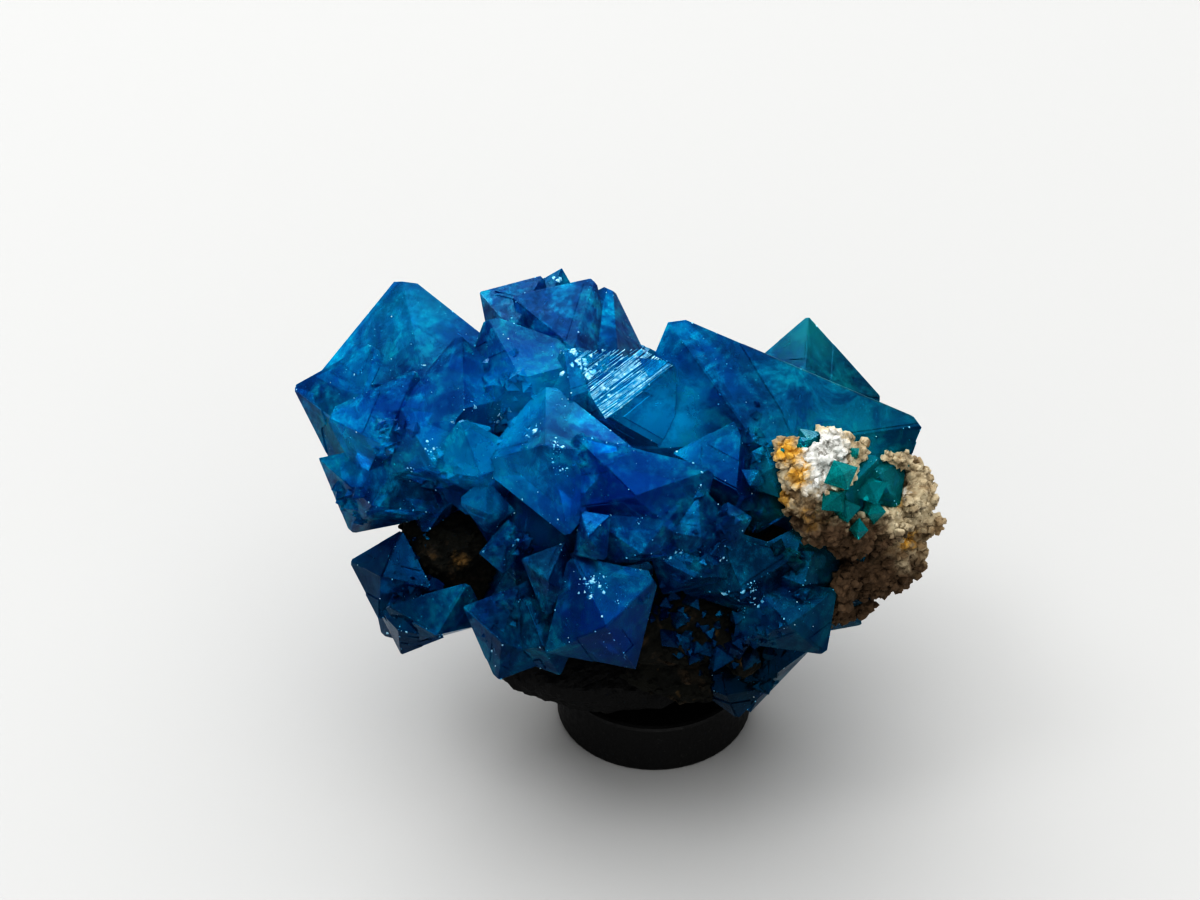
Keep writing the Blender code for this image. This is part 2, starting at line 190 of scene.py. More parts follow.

# Tinted places, in the order in which they are laid over each other: the pixel that each is seen
# at, its reach in millimetres, its colour and its strength. The bright azure places are painted
# glow and the dark navy places are painted shade; the other tints change the crystal's own
# colour.
TINTED_PLACES = [
    ((655, 425), 0.9, PAINTED_GLOW_AZURE, 1.0), ((520, 400), 0.9, PAINTED_GLOW_AZURE, 0.8), ((410, 310), 0.9, PAINTED_GLOW_AZURE, 0.3),
    ((635, 438), 0.4, PAINTED_GLOW_AZURE, 0.8), ((490, 460), 0.7, PAINTED_GLOW_AZURE, 0.6), ((600, 610), 0.7, ROYAL, 0.7),
    ((345, 435), 0.6, PAINTED_GLOW_AZURE, 0.5), ((425, 445), 0.5, PAINTED_GLOW_AZURE, 0.4), ((540, 480), 0.5, PAINTED_GLOW_AZURE, 0.4),
    ((340, 350), 0.5, PAINTED_GLOW_AZURE, 0.3), ((470, 500), 0.4, PAINTED_GLOW_AZURE, 0.4), ((362, 374), 0.3, PAINTED_GLOW_AZURE, 0.5),
    ((545, 525), 0.4, PAINTED_GLOW_AZURE, 0.5), ((604, 438), 0.3, ROYAL, 0.7), ((368, 408), 0.3, ROYAL, 0.7),
    ((635, 485), 0.8, ROYAL, 0.9), ((575, 500), 0.6, ROYAL, 0.6), ((450, 385), 0.6, ROYAL, 0.6),
    ((520, 347), 0.6, ROYAL, 0.75), ((620, 640), 0.6, ROYAL, 0.7),
    ((808, 330), 0.5, FAR_TEAL, 0.85), ((755, 558), 0.4, PAINTED_SHADE_NAVY, 0.85),
    ((788, 556), 0.5, PAINTED_SHADE_NAVY, 0.9), ((395, 525), 0.3, PAINTED_SHADE_NAVY, 0.6), ((522, 628), 0.4, PAINTED_SHADE_NAVY, 0.6),
    ((775, 520), 0.4, PAINTED_SHADE_NAVY, 0.6), ((545, 560), 0.3, PAINTED_SHADE_NAVY, 0.6), ((396, 500), 0.3, PAINTED_SHADE_NAVY, 0.4),
    ((725, 465), 0.4, ROYAL, 0.7), ((412, 408), 0.4, ROYAL, 0.6), ((325, 430), 0.4, TEAL, 0.55),
    ((448, 300), 0.4, TEAL, 0.5), ((385, 300), 0.2, TEAL, 0.4),
    ((745, 682), 0.5, DARK_TEAL, 0.85), ((770, 655), 0.4, DARK_TEAL, 0.6),
]

# Places where shade is painted darkest on the crystals, in the display frame, each with its reach
# in millimetres.
PAINTED_SHADE_PLACES = [
    ((-4.4, -2.2, 0.5), 1.4),
    ((1.8, -3.6, 0.5), 1.1),
    ((-3.2, -0.6, 1.5), 0.4),
    ((-2.6, -2.9, 1.0), 0.5),
]

# The place beside the crust where the crystals turn green, as a pixel.
CRUSTY_PIXEL = (845, 495)

# The crystal's refraction, how clear it is in plain places and where glow is painted, and what
# its body absorbs per metre.
CRYSTAL_IOR = 1.6
CLEAR = 0.78
GLOWING = 0.60
ABSORPTION_COLOUR = (0.0, 0.88, 0.94, 1.0)
ABSORPTION_DENSITY = 2200.0


def crystal_material():
    """Blue glassy crystal that turns teal towards the right-hand side, with painted shade towards
    the bottom and at dark places, painted glow at the azure places, and painted sparkle dots.
    """
    n = Nodes("liroconite_crystal")
    right = n.along(RIGHT, CLUSTER_MIDDLE)
    wander = n.noise(520.0, 2.0)
    teal = n.ramp(n.math("ADD", right, n.math("MULTIPLY", wander, 3.0)), 2.0, 6.5)
    cloud = n.noise(1100.0, 4.0, 0.7, 0.8)
    patches = n.ramp(cloud, 0.42, 0.60)
    mottle = n.ramp(n.noise(5200.0, 2.0, 0.7), 0.38, 0.64)
    deep = n.mix(mottle, (0.0001, 0.060, 0.27), (0.0002, 0.145, 0.47))
    light = n.mix(mottle, (0.0002, 0.29, 0.60), (0.002, 0.70, 0.92))
    blue = n.mix(patches, deep, light)
    deep_green = n.mix(mottle, (0.0002, 0.075, 0.15), (0.0003, 0.14, 0.23))
    light_green = n.mix(mottle, (0.0005, 0.22, 0.27), (0.003, 0.40, 0.42))
    colour = n.mix(teal, blue, n.mix(patches, deep_green, light_green))
    up = n.along(display_basis().col[1], CLUSTER_MIDDLE)
    # Painted shade: dark navy mixed in towards the bottom and near each listed dark place.
    shade = n.ramp(n.math("ADD", up, n.math("MULTIPLY", wander, 2.4)), -2.0, 1.2, 0.62, 0.0)
    for middle, reach in PAINTED_SHADE_PLACES:
        away = n.math("ADD", n.far(display_point(*middle)), n.math("MULTIPLY", wander, 0.8))
        shade = n.math("MAXIMUM", shade, n.ramp(away, reach, reach + 1.3, 0.85, 0.0))
    colour = n.mix(shade, colour, (0.0002, 0.045, 0.14))
    # Painted glow and painted shade at the tinted places; where glow is painted the crystal is
    # also less clear.
    painted_glow = 0.0
    for pixel, reach, tint, strength in TINTED_PLACES:
        away = n.far(seen_at(pixel, crystal_tree))
        away = n.math("ADD", away, n.math("MULTIPLY", mottle, 0.3))
        share = n.ramp(away, reach * 0.5, reach + 0.5, strength, 0.0)
        colour = n.mix(share, colour, tint)
        if tint == PAINTED_GLOW_AZURE:
            painted_glow = n.math("MAXIMUM", painted_glow, share)
    crusty = n.far(seen_at(CRUSTY_PIXEL, crystal_tree))
    crusty = n.math("ADD", crusty, n.math("MULTIPLY", mottle, 0.5))
    colour = n.mix(n.ramp(crusty, 1.2, 1.9, 1.0, 0.0), colour, (0.003, 0.50, 0.50))
    # Painted sparkle: tiny pale cyan dots in patches, standing in for glints.
    sparkle = n.ramp(n.cells(8000.0), 0.05, 0.15, 0.8, 0.0)
    sparkle_patches = n.ramp(n.noise(1700.0, 3.0, 0.6), 0.46, 0.58)
    colour = n.mix(n.math("MULTIPLY", sparkle, sparkle_patches), colour, (0.12, 0.80, 0.95))
    rough = n.ramp(cloud, 0.3, 0.75, 0.28, 0.05)
    fine = n.bump(n.noise(14000.0, 2.0, 0.7), 0.5, 0.007 * MM)
    broad = n.bump(n.noise(1500.0, 2.0, 0.6), 0.45, 0.06 * MM, fine)
    n.set(Base_Color=colour, Roughness=rough, Normal=broad)
    n.set(IOR=CRYSTAL_IOR, Transmission_Weight=n.ramp(painted_glow, 0.0, 1.0, CLEAR, GLOWING))
    n.set(Specular_IOR_Level=0.06, Specular_Tint=(0.06, 0.55, 1.0))
    volume = n.tree.nodes.new("ShaderNodeVolumeAbsorption")
    volume.inputs["Color"].default_value = ABSORPTION_COLOUR
    volume.inputs["Density"].default_value = ABSORPTION_DENSITY
    n.tree.links.new(volume.outputs["Volume"], n.output.inputs["Volume"])
    return n.material


# Stains on the crust, each by the pixel that it is seen at, with its reach in millimetres.
WHITE_PLACES = [((825, 452), 0.50), ((806, 436), 0.35), ((832, 484), 0.10), ((872, 462), 0.05),
                ((812, 482), 0.28), ((902, 490), 0.08)]
OCHRE_PLACES = [((786, 452), 0.22), ((800, 478), 0.20), ((782, 498), 0.20), ((812, 520), 0.16),
                ((893, 500), 0.16), ((905, 540), 0.12)]

# Ochre spots on the dark rock, each by the pixel that it is seen at, its radius in millimetres.
OCHRE_SPOTS = [((461, 560), 0.14), ((409, 595), 0.10), ((716, 632), 0.02), ((741, 662), 0.04)]

# How far to the right the crust starts to keep its pale colours further down, in millimetres.
PALE_SIDE = 3.6


def rock_material(name, pale):
    """Crumbly matrix: pale with white and ochre stains above and brown below, or else dark."""
    n = Nodes(name)
    blotch = n.noise(1500.0, 4.0, 0.65, 0.4)
    brown = n.mix(n.noise(6000.0, 3.0), (0.050, 0.034, 0.022), (0.16, 0.11, 0.07))
    if pale:
        white = n.mix(n.noise(9000.0, 3.0), (0.34, 0.35, 0.33), (0.76, 0.76, 0.74))
        ochre = n.mix(n.noise(5000.0, 3.0), (0.42, 0.21, 0.02), (0.74, 0.50, 0.13))
        cream = n.mix(n.noise(5600.0, 3.0), (0.36, 0.30, 0.20), (0.62, 0.56, 0.43))
        tan = n.mix(n.noise(5200.0, 3.0), (0.12, 0.08, 0.04), (0.36, 0.28, 0.18))
        warm = n.mix(n.ramp(blotch, 0.40, 0.60), tan, cream)
        ragged = n.math("MULTIPLY", n.noise(3000.0, 5.0, 0.75), 0.9)
        for places, stain in ((WHITE_PLACES, white), (OCHRE_PLACES, ochre)):
            for pixel, reach in places:
                away = n.math("ADD", n.far(seen_at(pixel, crust_tree)), ragged)
                share = n.ramp(away, reach + 0.35, reach + 0.55, 0.95, 0.0)
                warm = n.mix(share, warm, stain)
        up = n.along(display_basis().col[1], CLUSTER_MIDDLE)
        patchy = n.math("MULTIPLY", n.noise(1200.0, 3.0, 0.6), 3.0)
        aside = n.along(RIGHT, display_point(PALE_SIDE, 0.0, 0.0))
        height = n.math("ADD", n.math("ADD", up, patchy), n.math("MULTIPLY", aside, 0.4))
        colour = n.mix(n.ramp(height, 0.75, 1.55), brown, warm)
        # Painted shade: dark brown blotches standing in for shadow between the crumbs.
        painted_pit_shade = n.ramp(n.noise(3400.0, 4.0, 0.7), 0.34, 0.46, 0.75, 0.0)
        colour = n.mix(painted_pit_shade, colour, (0.045, 0.032, 0.018))
    else:
        spots = n.ramp(n.noise(1700.0, 3.0, 0.55), 0.66, 0.76, 0.0, 0.5)
        for pixel, size in OCHRE_SPOTS:
            place = seen_at(pixel, rock_tree)
            ragged = n.math("MULTIPLY", n.noise(4500.0, 4.0, 0.7), 0.55)
            near = n.ramp(n.math("ADD", n.far(place), ragged), size + 0.15, size + 0.35, 0.7, 0.0)
            spots = n.math("MAXIMUM", spots, near)
        deep = n.mix(n.noise(2500.0, 3.0), (0.004, 0.006, 0.006), (0.022, 0.021, 0.015))
        colour = n.mix(n.ramp(blotch, 0.55, 0.85), deep, brown)
        rusty = n.mix(n.noise(6500.0, 3.0), (0.10, 0.06, 0.02), (0.34, 0.22, 0.09))
        colour = n.mix(spots, colour, rusty)
    grains = n.math("ADD", n.noise(8000.0, 5.0, 0.7), n.cells(6000.0))
    normal = n.bump(grains, 0.8, 0.03 * MM)
    rough = n.ramp(n.noise(7000.0, 2.0), 0.3, 0.7, 0.75, 0.98)
    n.set(Base_Color=colour, Roughness=rough, Normal=normal, Specular_IOR_Level=0.3)
    return n.material


def speck_material():
    """Pale blue to white dust and chips."""
    n = Nodes("pale_specks")
    tint = n.ramp(n.noise(6000.0, 1.0), 0.45, 0.55)
    colour = n.mix(tint, (0.10, 0.42, 0.60), (0.60, 0.68, 0.68))
    n.set(Base_Color=colour, Roughness=n.ramp(n.noise(9000.0), 0.3, 0.7, 0.3, 0.7))
    return n.material


def sparkle_material():
    """Broken facets whose whitish colour is a painted highlight, for glints and bright streaks.
    """
    n = Nodes("painted_glint_facets")
    streaks = n.ramp(n.noise(9000.0, 3.0, 0.7, 0.5), 0.35, 0.65)
    colour = n.mix(streaks, (0.01, 0.40, 0.68), (0.62, 0.88, 0.95))
    n.set(Base_Color=colour, Roughness=n.ramp(streaks, 0.0, 1.0, 0.12, 0.35))
    n.set(Specular_Tint=(0.55, 0.85, 1.0))
    n.set(Transmission_Weight=0.25, IOR=CRYSTAL_IOR)
    n.set(Normal=n.bump(streaks, 0.5, 0.01 * MM))
    return n.material


def putty_material():
    """Black, rough and nearly matt."""
    n = Nodes("black_putty")
    grain = n.noise(5000.0, 5.0, 0.7)
    colour = n.mix(n.ramp(grain, 0.4, 0.7), (0.0008, 0.0008, 0.0009), (0.0065, 0.0065, 0.0065))
    n.set(Base_Color=colour, Roughness=n.ramp(grain, 0.3, 0.7, 0.55, 0.85))
    n.set(Normal=n.bump(grain, 0.9, 0.05 * MM))
    return n.material


def peg_material():
    """Black plastic with a little pale dust."""
    n = Nodes("black_peg")
    grain = n.noise(9000.0, 3.0, 0.6)
    dust = n.ramp(n.noise(16000.0, 2.0, 0.5), 0.64, 0.72)
    colour = n.mix(grain, (0.002, 0.002, 0.0022), (0.0055, 0.0055, 0.0055))
    colour = n.mix(n.math("MULTIPLY", dust, 0.15), colour, (0.12, 0.12, 0.11))
    n.set(Base_Color=colour, Roughness=n.ramp(grain, 0.3, 0.7, 0.45, 0.7))
    n.set(Normal=n.bump(grain, 0.35, 0.01 * MM))
    return n.material


# ---- Shapes

# The unevenness of the rough pieces: its waves per millimetre and the share of each.
ROUGH_WAVES = ((3.1, 1.0), (7.3, 0.8), (15.0, 0.6))
MIDDLE_OF_WAVES = 0.25


def tree_of(obj):
    """A search tree of a node's surface."""
    bm = bmesh.new()
    bm.from_mesh(obj.data)
    tree = BVHTree.FromBMesh(bm)
    bm.free()
    return tree


def sight(pixel_x, pixel_y):
    """The camera's place and the direction of its line of sight through a pixel."""
    basis = display_basis()
    eye = CLUSTER_MIDDLE + basis.col[2] * CAMERA_DISTANCE
    across = (pixel_x - MIDDLE_PIXEL[0]) / PIXELS_PER_MM
    up = (MIDDLE_PIXEL[1] - pixel_y) / PIXELS_PER_MM
    return eye, (display_point(across, up, 0.0) - eye).normalized()


def seen_at(pixel, tree):
    """The place on a surface that the camera sees at a pixel."""
    eye, direction = sight(*pixel)
    place = tree.ray_cast(eye, direction)[0]
    if place is None:
        place = tree.find_nearest(eye + direction * CAMERA_DISTANCE)[0]
    return place


def crumble(node, voxel, depth, seed):
    """A node's surface remeshed finely and roughened, as vertices and quads in metres."""
    mesh = node.data.copy()
    mesh.transform(Matrix.Scale(1.0 / MM, 4))
    helper = bpy.data.objects.new("helper", mesh)
    bpy.context.scene.collection.objects.link(helper)
    remesh = helper.modifiers.new("remesh", "REMESH")
    remesh.mode = "VOXEL"
    remesh.voxel_size = voxel
    bpy.context.view_layer.update()
    depsgraph = bpy.context.evaluated_depsgraph_get()
    fine = bpy.data.meshes.new_from_object(helper.evaluated_get(depsgraph))
    bpy.data.objects.remove(helper)
    bm = bmesh.new()
    bm.from_mesh(fine)
    bm.normal_update()
    moved = []
    for vert in bm.verts:
        spot = vert.co + Vector((seed, 0.0, 0.0))
        lift = sum(share * noise.noise(spot * waves) for waves, share in ROUGH_WAVES)
        moved.append(vert.co + vert.normal * depth * (lift - MIDDLE_OF_WAVES))
    for vert, place in zip(bm.verts, moved):
        vert.co = place * MM
    bpy.data.meshes.remove(fine)
    return bm


# How far a crumb is stretched along its three axes, at least and at most.
CRUMB_STRETCH = ((0.7, 1.3), (0.7, 1.3), (0.6, 1.1))


def add_crumbs(bm, count, smallest, largest, rng, keep_off):
    """Small angular grains half sunk in the surface, where it isn't against a crystal."""
    faces = list(bm.faces)
    areas = [face.calc_area() for face in faces]
    chosen = rng.choices(range(len(faces)), weights=areas, k=count)
    places = [(faces[index].calc_center_median(), faces[index].normal.copy()) for index in chosen]
    for place, normal in places:
        size = rng.uniform(smallest, largest) * MM
        gap = keep_off.find_nearest(place + normal * size)[3]
        if gap is not None and gap < size:
            continue
        angle = rng.uniform(0.0, math.tau)
        turn = Matrix.Rotation(angle, 4, Vector((rng.random(), rng.random(), 1.0)))
        width, depth, height = (rng.uniform(*span) for span in CRUMB_STRETCH)
        stretch = Matrix.Diagonal((width, depth, height, 1.0))
        matrix = Matrix.Translation(place + normal * size * 0.2) @ turn @ stretch
        made = bmesh.ops.create_icosphere(bm, subdivisions=1, radius=size, matrix=matrix)
        for vert in made["verts"]:
            vert.co += Vector([rng.uniform(-0.22, 0.22) * size for _ in range(3)])


def rough_piece(name, node_name, material, voxel, depth, crumbs, sizes, seed):
    """A finely roughened piece in place of a CAD node, with lengths in millimetres."""
    node = nodes[node_name]
    rng = random.Random(seed)
    bm = crumble(node, voxel, depth, seed)
    if crumbs:
        add_crumbs(bm, crumbs, sizes[0], sizes[1], rng, crystal_tree)
    piece = new_object(name, bm)
    assign(piece, material)
    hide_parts(node_name)
    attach(piece, "root")


def close_plate(bm, base, top):
    """The faces of a thin plate between two rings of vertices."""
    bm.faces.new(list(reversed(base)))
    bm.faces.new(top)
    for index in range(len(base)):
        after = (index + 1) % len(base)
        bm.faces.new((base[index], base[after], top[after], top[index]))


# The share of a chip's width that its top has.
FLAKE_TOP = 0.55


def add_flake(bm, place, normal, size, height, rng):
    """A small flat crystal chip lying on a face: a low pyramid with its top cut off."""
    side = normal.orthogonal().normalized()
    side.rotate(Matrix.Rotation(rng.uniform(0.0, math.tau), 3, normal))
    other = normal.cross(side)
    base = []
    top = []
    corners = rng.choice((4, 4, 5, 3))
    for index in range(corners):
        angle = math.tau * (index + rng.uniform(-0.2, 0.2)) / corners
        reach = side * math.cos(angle) + other * math.sin(angle) * rng.uniform(0.6, 1.0)
        base.append(bm.verts.new(place + reach * size - normal * height))
        tilt = rng.uniform(0.5, 1.4)
        top.append(bm.verts.new(place + reach * size * FLAKE_TOP + normal * height * tilt))
    close_plate(bm, base, top)


def finish_flakes(bm, name, material):
    """Makes a piece of the crystals' own stuff out of bm."""
    bmesh.ops.recalc_face_normals(bm, faces=bm.faces)
    piece = new_object(name, bm)
    assign(piece, material)
    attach(piece, "root")


def merged_crystals():
    """The crystals as one mesh whose faces share their corners."""
    source = bmesh.new()
    source.from_mesh(crystals.data)
    bmesh.ops.remove_doubles(source, verts=source.verts, dist=MERGE_DISTANCE)
    return source


def scatter_specks(count):
    """Tiny pale chips on the faces of the crystals, all round."""
    rng = random.Random(3)
    source = bmesh.new()
    source.from_mesh(crystals.data)
    bmesh.ops.triangulate(source, faces=source.faces)
    faces = list(source.faces)
    areas = [face.calc_area() for face in faces]
    bm = bmesh.new()
    for face in rng.choices(faces, weights=areas, k=count):
        first, second = rng.random(), rng.random()
        if first + second > 1.0:
            first, second = 1.0 - first, 1.0 - second
        a, b, c = (vert.co for vert in face.verts)
        place = a + (b - a) * first + (c - a) * second
        size = (0.005 + 0.018 * rng.random() ** 4) * MM
        add_flake(bm, place, face.normal, size, size * rng.uniform(0.3, 0.8), rng)
    source.free()
    finish_flakes(bm, "pale_specks", speck_material())


# Painted glints: broken facets in the pale painted-highlight colour, each by the pixel that it is
# seen at, its size in millimetres.
SPARKLES = [
    (359, 372, 0.09), (346, 371, 0.05), (424, 367, 0.07), (447, 359, 0.05), (480, 504, 0.05),
    (514, 545, 0.12), (587, 588, 0.20), (597, 583, 0.12), (603, 581, 0.10), (618, 600, 0.07),
    (629, 606, 0.09), (622, 655, 0.08), (668, 558, 0.10), (684, 553, 0.12), (700, 549, 0.09),
    (736, 600, 0.20), (752, 588, 0.16), (741, 612, 0.10), (770, 626, 0.06), (786, 627, 0.06),
    (564, 353, 0.10), (520, 600, 0.05), (520, 497, 0.06), (545, 440, 0.05), (560, 405, 0.06),
    (580, 358, 0.20), (592, 372, 0.18), (604, 392, 0.14), (574, 352, 0.12),
    (470, 402, 0.15), (500, 416, 0.20), (530, 430, 0.20), (556, 446, 0.15), (430, 450, 0.12),
    (455, 425, 0.10), (410, 470, 0.08), (560, 470, 0.10), (720, 560, 0.10), (760, 600, 0.12),
    (700, 490, 0.10), (640, 520, 0.06), (493, 650, 0.09), (556, 280, 0.14), (470, 575, 0.07),
]

# How many of them a bright spot has per millimetre of size, and from what size two are large.
SPARKLES_PER_MM = 130
LARGE_SPARKLE = 0.12


def make_sparkles():
    """A cluster of tiny facets in the pale painted-highlight colour at each of the glints."""
    rng = random.Random(8)
    bm = bmesh.new()
    for pixel_x, pixel_y, size in SPARKLES:
        eye, direction = sight(pixel_x, pixel_y)
        place, normal = crystal_tree.ray_cast(eye, direction)[:2]
        if place is None:
            continue
        for step in range(round(SPARKLES_PER_MM * size) + 2):
            jitter = Vector([rng.gauss(0.0, 0.60) * size * MM for _ in range(3)])
            jitter -= normal * jitter.dot(normal)
            near, facing = crystal_tree.find_nearest(place + jitter)[:2]
            share = 0.05 + 0.45 * rng.random() ** 5
            if step < 2 and size >= LARGE_SPARKLE:
                share = 0.45
            add_flake(bm, near, facing, size * share * MM, 0.12 * size * share * 2.0 * MM, rng)
    finish_flakes(bm, "painted_glint_facets", sparkle_material())


# Edges and junctions that bend by less than this, in radians, stay bare.
SHARP_EDGE = 0.5
SHARP_JUNCTION = 0.4


def chip_edges(count):
    """Tiny chips along the sharp outer edges of the crystals, in the pale painted-highlight
    colour.
    """
    rng = random.Random(6)
    source = merged_crystals()
    source.normal_update()
    sharp = []
    for edge in source.edges:
        if len(edge.link_faces) == 2 and edge.is_convex and edge.calc_face_angle() > SHARP_EDGE:
            sharp.append(edge)
    lengths = [edge.calc_length() for edge in sharp]
    bm = bmesh.new()
    for edge in rng.choices(sharp, weights=lengths, k=count):
        a, b = (vert.co for vert in edge.verts)
        outward = (edge.link_faces[0].normal + edge.link_faces[1].normal).normalized()
        place = a.lerp(b, rng.random()) - outward * 0.004 * MM
        size = (0.008 + 0.030 * rng.random() ** 3) * MM
        add_flake(bm, place, outward, size, size * rng.uniform(0.2, 0.5), rng)
    source.free()
    finish_flakes(bm, "edge_chips", sparkle_material())


# Smaller faces have no growth layers.
SMALLEST_LAYERED_FACE = 0.12 * MM * MM

# How far a growth layer's foot lies below its face, in millimetres.
LAYER_SINK = 0.003


def grow_layers():
    """Thin growth layers on the larger faces, each a smaller copy of its face from one corner."""
    rng = random.Random(21)
    source = merged_crystals()
    bmesh.ops.dissolve_limit(
        source, angle_limit=math.radians(0.5), verts=source.verts, edges=source.edges
    )
    bm = bmesh.new()
    for face in source.faces:
        if face.calc_area() < SMALLEST_LAYERED_FACE:
            continue
        corners = [loop.vert.co.copy() for loop in face.loops]
        normal = face.normal.copy()
        for _ in range(rng.choice((1, 2, 2, 3))):
            pivot = rng.choice(corners)
            scale = rng.uniform(0.30, 0.88)
            shape = [pivot.lerp(corner, scale) for corner in corners]
            halfway = [(shape[index] + shape[index - 1]) / 2.0 for index in range(len(shape))]
            gaps = [crystal_tree.find_nearest(point)[3] for point in shape + halfway]
            if max(gaps) > LAYER_SINK * MM:
                continue
            height = rng.uniform(0.010, 0.026) * MM
            middle = sum(shape, Vector()) / len(shape)
            base = [bm.verts.new(point - normal * LAYER_SINK * MM) for point in shape]
            top = [bm.verts.new(point.lerp(middle, 0.04) + normal * height) for point in shape]
            close_plate(bm, base, top)
    source.free()
    finish_flakes(bm, "growth_layers", crystals.data.materials[0])


CRYSTALS_PER_GAP = 14

# Gaps filled by small crystals: the pixel of each, its reach and the largest half length (mm).
DRUSE_PLACES = [
    (515, 392, 0.45, 0.30), (500, 430, 0.45, 0.26), (440, 470, 0.45, 0.24),
    (390, 430, 0.40, 0.22), (350, 500, 0.40, 0.24), (520, 545, 0.35, 0.20),
    (500, 620, 0.35, 0.20), (700, 560, 0.45, 0.24), (730, 520, 0.30, 0.20),
    (660, 600, 0.35, 0.20), (770, 640, 0.40, 0.22), (705, 655, 0.45, 0.34),
    (748, 645, 0.35, 0.32), (680, 612, 0.30, 0.22), (772, 684, 0.35, 0.26),
    (735, 615, 0.30, 0.26), (420, 545, 0.35, 0.12), (405, 590, 0.30, 0.14),
    (755, 430, 0.35, 0.20), (800, 560, 0.30, 0.18), (690, 640, 0.35, 0.20),
]

# Green crystals in and beside the crust: the pixel of each and its half length in millimetres.
# They stand out by a share of that length.
CRUST_CRYSTAL_LIFT = 0.3
CRUST_CRYSTALS = [
    (802, 444, 0.16), (756, 478, 0.24), (752, 505, 0.26), (764, 530, 0.22), (762, 455, 0.16),
    (838, 474, 0.34), (846, 505, 0.36), (866, 488, 0.34), (832, 496, 0.34), (872, 512, 0.26),
    (858, 530, 0.22), (852, 455, 0.16), (792, 560, 0.20), (800, 590, 0.18), (778, 548, 0.18),
]


def front_hit(pixel):
    """The nearest place on the crystals or the rock that the camera sees, and its normal."""
    eye, direction = sight(*pixel)
    hits = [tree.ray_cast(eye, direction) for tree in (crystal_tree, crust_tree, rock_tree)]
    hits = [hit for hit in hits if hit[0] is not None]
    if not hits:
        return None, None
    nearest = min(hits, key=lambda hit: hit[3])
    return nearest[0], nearest[1]


def add_crystal(bm, place, outward, size, rng):
    """A small flattened octahedron, half sunk, leaning outward."""
    lean = outward + Vector([rng.uniform(-0.6, 0.6) for _ in range(3)])
    turn = lean.to_track_quat("Z", "Y").to_matrix().to_4x4()
    spin = Matrix.Rotation(rng.uniform(0.0, math.tau), 4, "Z")
    width, height = size * rng.uniform(0.65, 0.95), size * rng.uniform(0.6, 1.1)
    scale = Matrix.Diagonal((size, width, height, 1.0))
    matrix = Matrix.Translation(place) @ turn @ spin @ scale
    corners = ((1, 0, 0), (0, 1, 0), (-1, 0, 0), (0, -1, 0))
    ring = [bm.verts.new(matrix @ Vector(corner)) for corner in corners]
    top = bm.verts.new(matrix @ Vector((0.0, 0.0, 1.0)))
    bottom = bm.verts.new(matrix @ Vector((0.0, 0.0, -1.0)))
    for index in range(4):
        after = (index + 1) % 4
        bm.faces.new((ring[index], ring[after], top))
        bm.faces.new((ring[after], ring[index], bottom))


def grow_druse(count):
    """Small crystals in the junctions between the large ones, and in the listed gaps."""
    rng = random.Random(12)
    source = merged_crystals()
    source.normal_update()
    inner = []
    for edge in source.edges:
        hollow = len(edge.link_faces) == 2 and not edge.is_convex
        if hollow and edge.calc_face_angle() > SHARP_JUNCTION:
            inner.append(edge)
    lengths = [edge.calc_length() for edge in inner]
    bm = bmesh.new()
    for edge in rng.choices(inner, weights=lengths, k=count):
        a, b = (vert.co for vert in edge.verts)
        outward = (edge.link_faces[0].normal + edge.link_faces[1].normal).normalized()
        size = (0.04 + 0.16 * rng.random() ** 3) * MM
        add_crystal(bm, a.lerp(b, rng.random()), outward, size, rng)
    source.free()
    for pixel_x, pixel_y, reach, largest in DRUSE_PLACES:
        for _ in range(CRYSTALS_PER_GAP):
            off_x = rng.gauss(0.0, 0.5) * reach * PIXELS_PER_MM
            off_y = rng.gauss(0.0, 0.5) * reach * PIXELS_PER_MM
            place, normal = front_hit((pixel_x + off_x, pixel_y + off_y))
            if place is None:
                continue
            size = largest * (0.3 + 0.7 * rng.random() ** 2) * MM
            add_crystal(bm, place - normal * size * 0.15, normal, size, rng)
    for pixel_x, pixel_y, size in CRUST_CRYSTALS:
        place, normal = front_hit((pixel_x, pixel_y))
        if place is not None:
            size *= MM
            add_crystal(bm, place + normal * size * CRUST_CRYSTAL_LIFT, normal, size, rng)
    finish_flakes(bm, "small_crystals", crystals.data.materials[0])


# The striated bright face: a place on it, its corners and the line that its streaks follow, in
# pixels. Towards that line, over a share of the face, the streaks are longer and wider.
FACE_PIXEL = (618, 376)
FACE_CORNERS = ((563, 351), (642, 349), (674, 366), (606, 420))
STREAK_LINE = ((605, 418), (672, 367))
STREAK_COUNT = 60
EDGEWARD_SHARE = 0.40


def on_plane(pixel, place, normal):
    """Where the line of sight through a pixel meets a plane."""
    eye, direction = sight(*pixel)
    return eye + direction * ((place - eye).dot(normal) / direction.dot(normal))


def inside_span(point, corners, normal, along):
    """The stretch of the line through point, in the direction along, inside the corners."""
    low, high = -1.0, 1.0
    middle = sum(corners, Vector()) / len(corners)
    for index, corner in enumerate(corners):
        after = corners[(index + 1) % len(corners)]
        inward = normal.cross(after - corner).normalized()
        if inward.dot(middle - corner) < 0.0:
            inward.negate()
        slope = along.dot(inward)
        gap = (corner - point).dot(inward)
        if abs(slope) < 1e-9:
            if gap > 0.0:
                return None
            continue
        if slope > 0.0:
            low = max(low, gap / slope)
        else:
            high = min(high, gap / slope)
    return (low, high) if high > low else None


